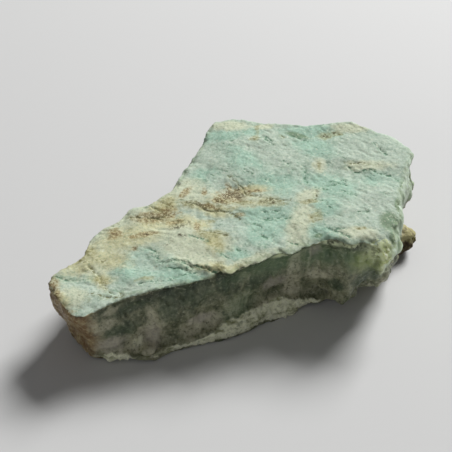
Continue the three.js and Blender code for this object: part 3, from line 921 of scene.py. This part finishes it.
def drawn_out(stretch, turn=0):
    """The coordinates in mm, stretched along each axis and turned in plan, for streaky noise."""
    inputs = {"Vector": in_mm, "Scale": stretch, "Rotation": (0, 0, math.radians(turn))}
    return node("Mapping", inputs, vector_type="TEXTURE").outputs[0]


# %% [markdown]
# A mark alone would give a patch the smooth edge of its oval. Two noises, one fine and one wide,
# bend that edge before it is cut, so the patch comes out ragged, as a stain or a worn place is.

# %% Patches with ragged edges
ragged = swing(grain(1.6, 4, 0.6))
ragged_wide = swing(grain(5, 3, 0.6))
WIDE_SHARE = 0.7  # how far the wide noise bends an edge, as a share of what the fine noise does


def patch(name, edge=0.25, raggedness=1.0):
    """A mark turned into a share from 0 to 1, with a ragged edge."""
    bent = plus(marked(name), times(ragged, raggedness), times(ragged_wide, raggedness * WIDE_SHARE))
    return rise(bent, -edge, edge)


def lay_patches(under, layers):
    """Lays patches on a colour in turn: mark, colour, softness of the edge, and cover."""
    for name, tint, edge, most in layers:
        under = cover(under, tint, patch(name, edge), most)
    return under


# %% [markdown]
# The skin is mint with paler and duller clouds. Over them lie four kinds of patches: aqua where
# the green inside shows through, and chalky, cream and yellowish where weather has gone deeper.
# Small dark and pale mottles then go over everything, for the pores and the tops of the skin's
# grains.

# %% The skin's own colours
MINT, MINT_PALE, MINT_DULL = colour(171, 188, 171), colour(184, 199, 182), colour(157, 176, 157)
AQUA_GREEN, CREAM_SKIN, YELLOW_SKIN = colour(154, 190, 170), colour(196, 202, 175), colour(194, 191, 148)
CHALK, WORN_GREEN = colour(182, 197, 181), colour(104, 128, 94)
MOTTLE_DARK, MOTTLE_PALE = colour(132, 154, 130), colour(212, 218, 196)

skin_colour = cover(MINT, MINT_PALE, rise(grain(4, 3), 0.4, 0.62))
skin_colour = cover(skin_colour, MINT_DULL, rise(grain(2.2, 4, 0.6), 0.5, 0.7))
skin_colour = lay_patches(skin_colour, [
    ("aqua", AQUA_GREEN, 0.5, 0.8), ("chalky", CHALK, 0.5, 0.6),
    ("cream", CREAM_SKIN, 0.4, 0.95), ("yellowish", YELLOW_SKIN, 0.6, 0.85),
])
worn_through = rise(plus(marked("glass_spots"), times(ragged, 0.5)), -0.3, 0.4)
skin_colour = cover(skin_colour, WORN_GREEN, worn_through, 0.8)
mottled = grain(0.7, 4, 0.75)
skin_colour = cover(skin_colour, MOTTLE_DARK, rise(mottled, 0.51, 0.68), 0.75)
skin_colour = cover(skin_colour, MOTTLE_PALE, rise(mottled, 0.48, 0.3), 0.75)

# %% [markdown]
# The skin is covered with short dark dashes, where the grain of the vein comes out. The broad ones
# are the crests of noise drawn out along the grain. The hairlines are the same kind of noise where
# it is near its middle value, which makes thin winding lines. Wider noise breaks both up. The
# grain turns with the vein, so there are two directions, and the place along the stone chooses
# between them. The worn front rim is also painted a darker green, except near the left tip.

# %% Dashes along the grain, and a darker front rim
way_left, way_right = drawn_out(LONG, LAMINATION_LEFT), drawn_out(LONG, LAMINATION_RIGHT)
right_share = rise(side_to_side, -18, -6)


def streaks(size, detail=2.0):
    """Noise drawn out along the vein's grain, around its middle value."""
    return between(right_share, grain(size, detail, 0.6, way_left), grain(size, detail, 0.6, way_right))


def threads(value, thin=0.05):
    """Thin winding lines: where a noise is close to its middle value."""
    return rise(sums("ABSOLUTE", swing(value)), thin, thin * 0.2)


TEAL_DIRT_AND_SHADE, OLIVE_DIRT_AND_SHADE, RIM_DARKER = colour(84, 124, 98), colour(112, 112, 74), colour(124, 140, 104)
smudges = times(rise(streaks(0.9, 3), 0.58, 0.72), rise(grain(3, 3, 0.6), 0.44, 0.62))
hairs = times(threads(streaks(1.9, 3)), rise(grain(2.6, 3, 0.6), 0.54, 0.66))
dashes = sums("MAXIMUM", smudges, times(hairs, 0.6))
dirt = cover(TEAL_DIRT_AND_SHADE, OLIVE_DIRT_AND_SHADE, patch("cream", 0.5))
skin_colour = cover(skin_colour, dirt, dashes, 0.7)
rim_darkening = times(rise(marked("front_rim"), 0.15, 0.8), rise(grain(1.6, 3, 0.6), 0.36, 0.58))
rim_darkening = times(rim_darkening, rise(side_to_side, -36, -28))
skin_colour = cover(skin_colour, RIM_DARKER, rim_darkening, 0.45)

# %% [markdown]
# Iron has stained the skin from rust to olive. A stain is a pale wash over its whole patch, with
# stronger blotches in it, and the rust also has a net of fine brown lines. The blotches and the
# net are broken up by specks, because they sit in the pores and leave the tops of the grains
# clean. A few small places are dark with the mineral itself.

# %% Rust stains and dark mineral
RUST_PALE, RUST_STRONG, RUST_LINE = colour(194, 176, 126), colour(138, 114, 66), colour(104, 84, 50)
OLIVE_PALE, OLIVE_STRONG, UMBER = colour(172, 168, 122), colour(116, 112, 66), colour(66, 58, 38)
net = sums("MAXIMUM", threads(grain(2.2, 4, 0.6), 0.06), threads(streaks(1.4, 4), 0.05))
blotches = grain(1.1, 4, 0.7)
specks = rise(grain(0.7, 3, 0.75), 0.38, 0.52)
rust, olive = patch("rust", 0.6, 2.2), patch("olive", 0.6, 2.2)
rust_marks = times(rust, rise(blotches, 0.44, 0.6), specks)
rust_net = times(patch("rust", 0.6, 0.8), net, specks)
olive_marks = times(olive, rise(blotches, 0.42, 0.6), specks)
dark_marks = times(patch("dark", 0.6, 1.8), times(rise(blotches, 0.4, 0.6), specks))
for stain, share, most in (
    (RUST_PALE, rust, 0.45), (OLIVE_PALE, olive, 0.5), (OLIVE_STRONG, olive_marks, 0.85),
    (RUST_STRONG, rust_marks, 0.65), (RUST_LINE, rust_net, 0.85), (UMBER, dark_marks, 0.9),
):
    skin_colour = cover(skin_colour, stain, share, most)

# %% [markdown]
# Dirt fills the cracks and the grooves of the ledges. Along a ledge the dark line and its fainter
# band are also painted shadow, the shadow that the step casts forward. Each line is dark in its
# middle, with a wandering width, crumbs and gaps, and has a wider and fainter stain on both sides.

# %% Dirt in the cracks and beside them
TEAL_HALO, OLIVE_HALO = colour(126, 158, 132), colour(150, 150, 106)
crumbs = grain(0.7, 3, 0.7)


def line(name):
    """The middle of a crack as a share, with a wandering width, crumbs in it and gaps."""
    width = plus(times(grain(1.4, 2), 0.9), -0.2)
    across = sums("DIVIDE", sums("ABSOLUTE", marked(name + "_aside")), width)
    middle = times(rise(across, 1.4, 0.2), rise(marked(name + "_distance"), 0.8, 0.4))
    return times(middle, rise(crumbs, 0.4, 0.55), rise(grain(2, 3, 0.6), 0.38, 0.5))


def beside(name):
    """A stain along a crack, wider and fainter than the crack; along a ledge it is also painted shadow.
    """
    return times(rise(marked(name + "_distance"), 1.3, 0.2), rise(crumbs, 0.35, 0.65))


teal_line, olive_line = line("teal"), line("olive")
skin_colour = cover(skin_colour, TEAL_HALO, beside("teal"), 0.45)
skin_colour = cover(skin_colour, OLIVE_HALO, beside("olive"), 0.4)
skin_colour = cover(skin_colour, TEAL_DIRT_AND_SHADE, teal_line, 0.8)
skin_colour = cover(skin_colour, OLIVE_DIRT_AND_SHADE, olive_line, 0.8)

# %% [markdown]
# The fresh break is cloudier. It has soft bands and clouds rather than dashes, is painted darker just
# under the skin, a painted shade where the rim overhangs it, and has patches of its own: deep and
# pale green, lilac-grey, and the yellow-green corner where the light comes through, with cream lumps
# on its top, both painted lighter as a painted glow of that light. One number, the cloudiness, runs
# through five shades of glass, because the same chalcedony goes from nearly black to nearly white as
# it fills with flaws.

# %% The break's colours
GLASS_BLACK, GLASS_DARK, GLASS = colour(48, 54, 36), colour(88, 95, 70), colour(134, 137, 110)
GLASS_PALE, GLASS_WHITE = colour(178, 176, 150), colour(212, 212, 184)
DEEP_GREEN, GREEN_GLASS, LILAC_GREY = colour(76, 98, 74), colour(122, 156, 116), colour(180, 172, 164)
# the corner's colours are lighter than its own yellow-green and cream: a painted glow of the light
# through the thin corner
CORNER_GREEN_AND_GLOW, CORNER_CREAM_AND_GLOW = colour(176, 188, 124), colour(228, 238, 196)
upright = drawn_out((1, 1, 2.5))
cloudy = plus(
    times(grain(4, 2, 0.5, upright), 0.7), 0.13,
    times(swing(grain(12, 2)), 0.3), times(swing(grain(1.6, 3, 0.6, upright)), 0.45),
    times(patch("clouds", 0.5), 0.28), times(patch("lilac", 0.5), 0.12),
)
cloudy = sums("SUBTRACT", cloudy, times(patch("deep", 0.5), 0.14))
# painted shade: the break is darkened just below the skin, where the overhanging rim shades it
rim_depth = plus(marked("below_skin"), times(ragged_wide, 5))
painted_rim_shade = times(rise(rim_depth, 4.5, 1.5), rise(marked("skin"), 0.45, 0.1))
cloudy = sums("SUBTRACT", cloudy, times(painted_rim_shade, 0.22))
glass = GLASS_BLACK
for shade, low, high in (
    (GLASS_DARK, 0.14, 0.36), (GLASS, 0.32, 0.54), (GLASS_PALE, 0.5, 0.74), (GLASS_WHITE, 0.72, 1.0),
):
    glass = cover(glass, shade, rise(cloudy, low, high))
# dark and pale specks: partly the glass's own grain, partly painted shade and painted glints of its fine
# relief
speckle_and_glints = grain(0.9, 4, 0.7)
glass = cover(glass, GLASS_BLACK, rise(speckle_and_glints, 0.48, 0.72), 0.8)
glass = cover(glass, GLASS_WHITE, rise(speckle_and_glints, 0.48, 0.26), 0.6)
glass = lay_patches(glass, [
    ("deep", DEEP_GREEN, 0.5, 0.35), ("green", GREEN_GLASS, 0.8, 0.35),
    ("lilac", LILAC_GREY, 0.5, 0.45), ("corner", CORNER_GREEN_AND_GLOW, 0.8, 0.6),
])
# the cream lumps are painted lighter than their own cream, as a painted glow
cream_lumps = times(patch("corner_top", 0.7, 1.2), rise(grain(1.6, 4, 0.65), 0.36, 0.52))
glass = cover(glass, CORNER_CREAM_AND_GLOW, cream_lumps, 0.8)

# %% [markdown]
# The crust along the foot is a granular rind, nearly white, in thin layers with yellow-green gaps
# between them. It ends upwards in a ragged edge.

# %% The crust along the foot
CRUST_PALE, CRUST_GAP = colour(240, 242, 212), colour(150, 154, 114)
layers = grain(1.6, 3, 0.6, drawn_out((2.2, 2.2, 0.8)))
crust_colour = cover(CRUST_GAP, CRUST_PALE, rise(layers, 0.3, 0.54))
crust_colour = cover(crust_colour, GLASS_DARK, rise(grain(0.5, 3, 0.7), 0.52, 0.72), 0.5)
crust_edge = plus(marked("crust"), plus(times(ragged_wide, 1.6), times(ragged, 0.8)))
glass = cover(glass, crust_colour, rise(crust_edge, 0.4, 0.8))

# %% [markdown]
# The left end is granular like brown sugar: tan, rusty, dark and pale grains of four sizes. The
# host rock of the knob is dull olive-brown, paler where it looks up and darker on its sides and
# underneath.

# %% The sugary left end
SUGAR, SUGAR_TAN, SUGAR_RUST = colour(160, 144, 108), colour(126, 102, 68), colour(116, 90, 58)
SUGAR_DARK, SUGAR_PALE = colour(56, 43, 29), colour(206, 190, 150)
sugar = cover(SUGAR, SUGAR_TAN, rise(grain(1.4, 4, 0.65), 0.4, 0.6))
sugar = cover(sugar, SUGAR_RUST, rise(grain(3, 3), 0.48, 0.62), 0.75)
sugar = cover(sugar, SUGAR_DARK, rise(grain(2.6, 4, 0.7), 0.52, 0.7), 0.7)
sugar = cover(sugar, SUGAR_PALE, rise(grain(1.1, 4, 0.65), 0.54, 0.68), 0.7)
round_end = plus(marked("past_end"), times(ragged_wide, 8))
glass = cover(glass, sugar, rise(round_end, -4, 1))

# %% The host rock of the knob
HOST, HOST_DARK = colour(162, 156, 114), colour(68, 54, 35)
looks_up = plus(marked("skin"), times(ragged, 1.5))
host = cover(HOST, HOST_DARK, rise(looks_up, 0.3, -0.2))
host = cover(host, HOST_DARK, rise(grain(1.2, 4, 0.7), 0.5, 0.62), 0.5)

# %% [markdown]
# Along the right end a thin pale film still covers the glass below the skin, with a few places
# worn through to green. The skin itself ends at the rim, where it turns away from the top, and is
# missing from the bare tip of the front corner.

# %% Skin over break
RIGHT_PALE, SIDE_GREEN = colour(200, 218, 196), colour(124, 142, 112)
film = rise(plus(marked("faces_right"), times(ragged_wide, 0.8)), 0.35, 0.75)
film = times(film, rise(plus(marked("below_skin"), times(ragged_wide, 20)), 17, 8))
film = times(film, rise(side_to_side, 26, 34))
glass = cover(glass, RIGHT_PALE, film, 0.85)
glass = lay_patches(glass, [("side_green", SIDE_GREEN, 0.7, 0.8)])

on_skin = rise(plus(marked("skin"), times(ragged, 1.2)), 0.5, 0.62)
on_skin = times(on_skin, rise(marked("below_skin"), 6, 4), rise(patch("bare", 0.4, 1.2), 0.7, 0.3))
stone_colour = cover(glass, skin_colour, on_skin)
stone_colour = cover(stone_colour, host, rise(plus(marked("knob"), ragged), 0.4, 0.6))

# %% [markdown]
# What is finer than the mesh goes into a Bump node: the skin's grain with its cracks and dashes
# sunk in, and the upright grain of the break. The skin and the host rock are matt, the glass is
# waxy. Light goes a little way into the glass, most of all at the thin green corner.

# %% Fine relief and the shader
BUMP_STRENGTH, BUMP_HEIGHT = 0.75, 0.25 * MM
ROUGH_GLASS, ROUGH_SKIN = 0.42, 0.8
LIGHT_IN_GLASS, LIGHT_IN_CORNER, LIGHT_IN_SKIN = 0.2, 1.0, 0.05
LIGHT_REACH = 4 * MM

cracks = plus(sums("MAXIMUM", teal_line, olive_line), times(dashes, 0.7))
skin_relief = plus(grain(1.3, 3, 0.55), times(mottled, 0.5))
skin_relief = sums("SUBTRACT", skin_relief, times(cracks, 0.45))
break_relief = plus(grain(0.9, 4, 0.6), grain(1.4, 2, 0.5, upright))
fine_relief = between(on_skin, break_relief, skin_relief)
bump = node("Bump", {
    "Height": fine_relief, "Strength": BUMP_STRENGTH, "Distance": BUMP_HEIGHT,
}).outputs[0]
gloss = between(sums("MAXIMUM", on_skin, marked("knob")), ROUGH_GLASS, ROUGH_SKIN)
light_inside = between(patch("corner", 0.6), LIGHT_IN_GLASS, LIGHT_IN_CORNER)
light_inside = between(on_skin, light_inside, LIGHT_IN_SKIN)
shader = node("BsdfPrincipled", {
    "Base Color": stone_colour, "Roughness": gloss, "Normal": bump,
    "Subsurface Weight": light_inside, "Subsurface Radius": (1.0, 1.0, 0.6),
    "Subsurface Scale": LIGHT_REACH, "IOR": 1.54, "Specular IOR Level": 0.35,
})
node("OutputMaterial", {"Surface": shader.outputs[0]})
print("material nodes:", len(tree.nodes))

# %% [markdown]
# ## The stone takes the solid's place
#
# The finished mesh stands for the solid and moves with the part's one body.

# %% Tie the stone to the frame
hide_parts("chrysoprase")
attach(stone, "root")

# %% [markdown]
# ## Studio
#
# The stone lies on a plain pale floor. One large soft lamp stands behind it on the right, as high
# as it is far, so the skin is bright and the front break is in its own soft shade. A weak lamp on
# the left in front and an even light from the world all round keep that shade from going black.

# %% Floor
FLOOR_WIDTH = 4  # metres, so that its edge stays out of the picture
FLOOR_DROP = 0.02 * MM  # keeps the floor from flickering through the stone's flat foot
FLOOR_GREY = (0.6, 0.6, 0.595, 1)
bpy.ops.object.select_all(action="DESELECT")
bpy.ops.mesh.primitive_plane_add(size=FLOOR_WIDTH, location=(0, 0, -FLOOR_DROP))
floor = bpy.context.active_object
floor.name = "floor"
paper = bpy.data.materials.new("paper")
paper.use_nodes = True
paper_shader = paper.node_tree.nodes["Principled BSDF"]
paper_shader.inputs["Base Color"].default_value = FLOOR_GREY
paper_shader.inputs["Roughness"].default_value = 0.9
floor.data.materials.append(paper)

# %% Light
MAIN_DIRECTION, MAIN_DISTANCE = Vector((0.45, 0.56, 0.70)).normalized(), 1.6
FILL_PLACE = Vector((-0.4, -0.6, 0.35))
WORLD_STRENGTH = 0.13


def soft_lamp(place, width, power):
    """Adds a square lamp at a place in metres, turned to the middle of the frame."""
    bpy.ops.object.light_add(type="AREA", location=place)
    lamp = bpy.context.active_object
    lamp.rotation_euler = place.to_track_quat("Z", "Y").to_euler()
    lamp.data.size = width
    lamp.data.energy = power


soft_lamp(MAIN_DIRECTION * MAIN_DISTANCE, width=0.6, power=34)
soft_lamp(FILL_PLACE, width=0.3, power=0.4)
world = bpy.data.worlds.new("studio")
bpy.context.scene.world = world
world.use_nodes = True
world.node_tree.nodes["Background"].inputs["Color"].default_value = (1, 1, 1, 1)
world.node_tree.nodes["Background"].inputs["Strength"].default_value = WORLD_STRENGTH
bpy.context.scene.view_settings.view_transform = "Standard"

# %% Camera
CAMERA_PLACE = (-5.465 * MM, -176.84 * MM, 162.65 * MM)
CAMERA_TILT = math.radians(50)  # 40 degrees down from level
SENSOR_WIDTH, LENS = 36, 67.18  # together a field of view of 30 degrees
bpy.ops.object.camera_add(location=CAMERA_PLACE, rotation=(CAMERA_TILT, 0, 0))
camera = bpy.context.active_object
camera.data.sensor_width = SENSOR_WIDTH
camera.data.lens = LENS
bpy.context.scene.camera = camera
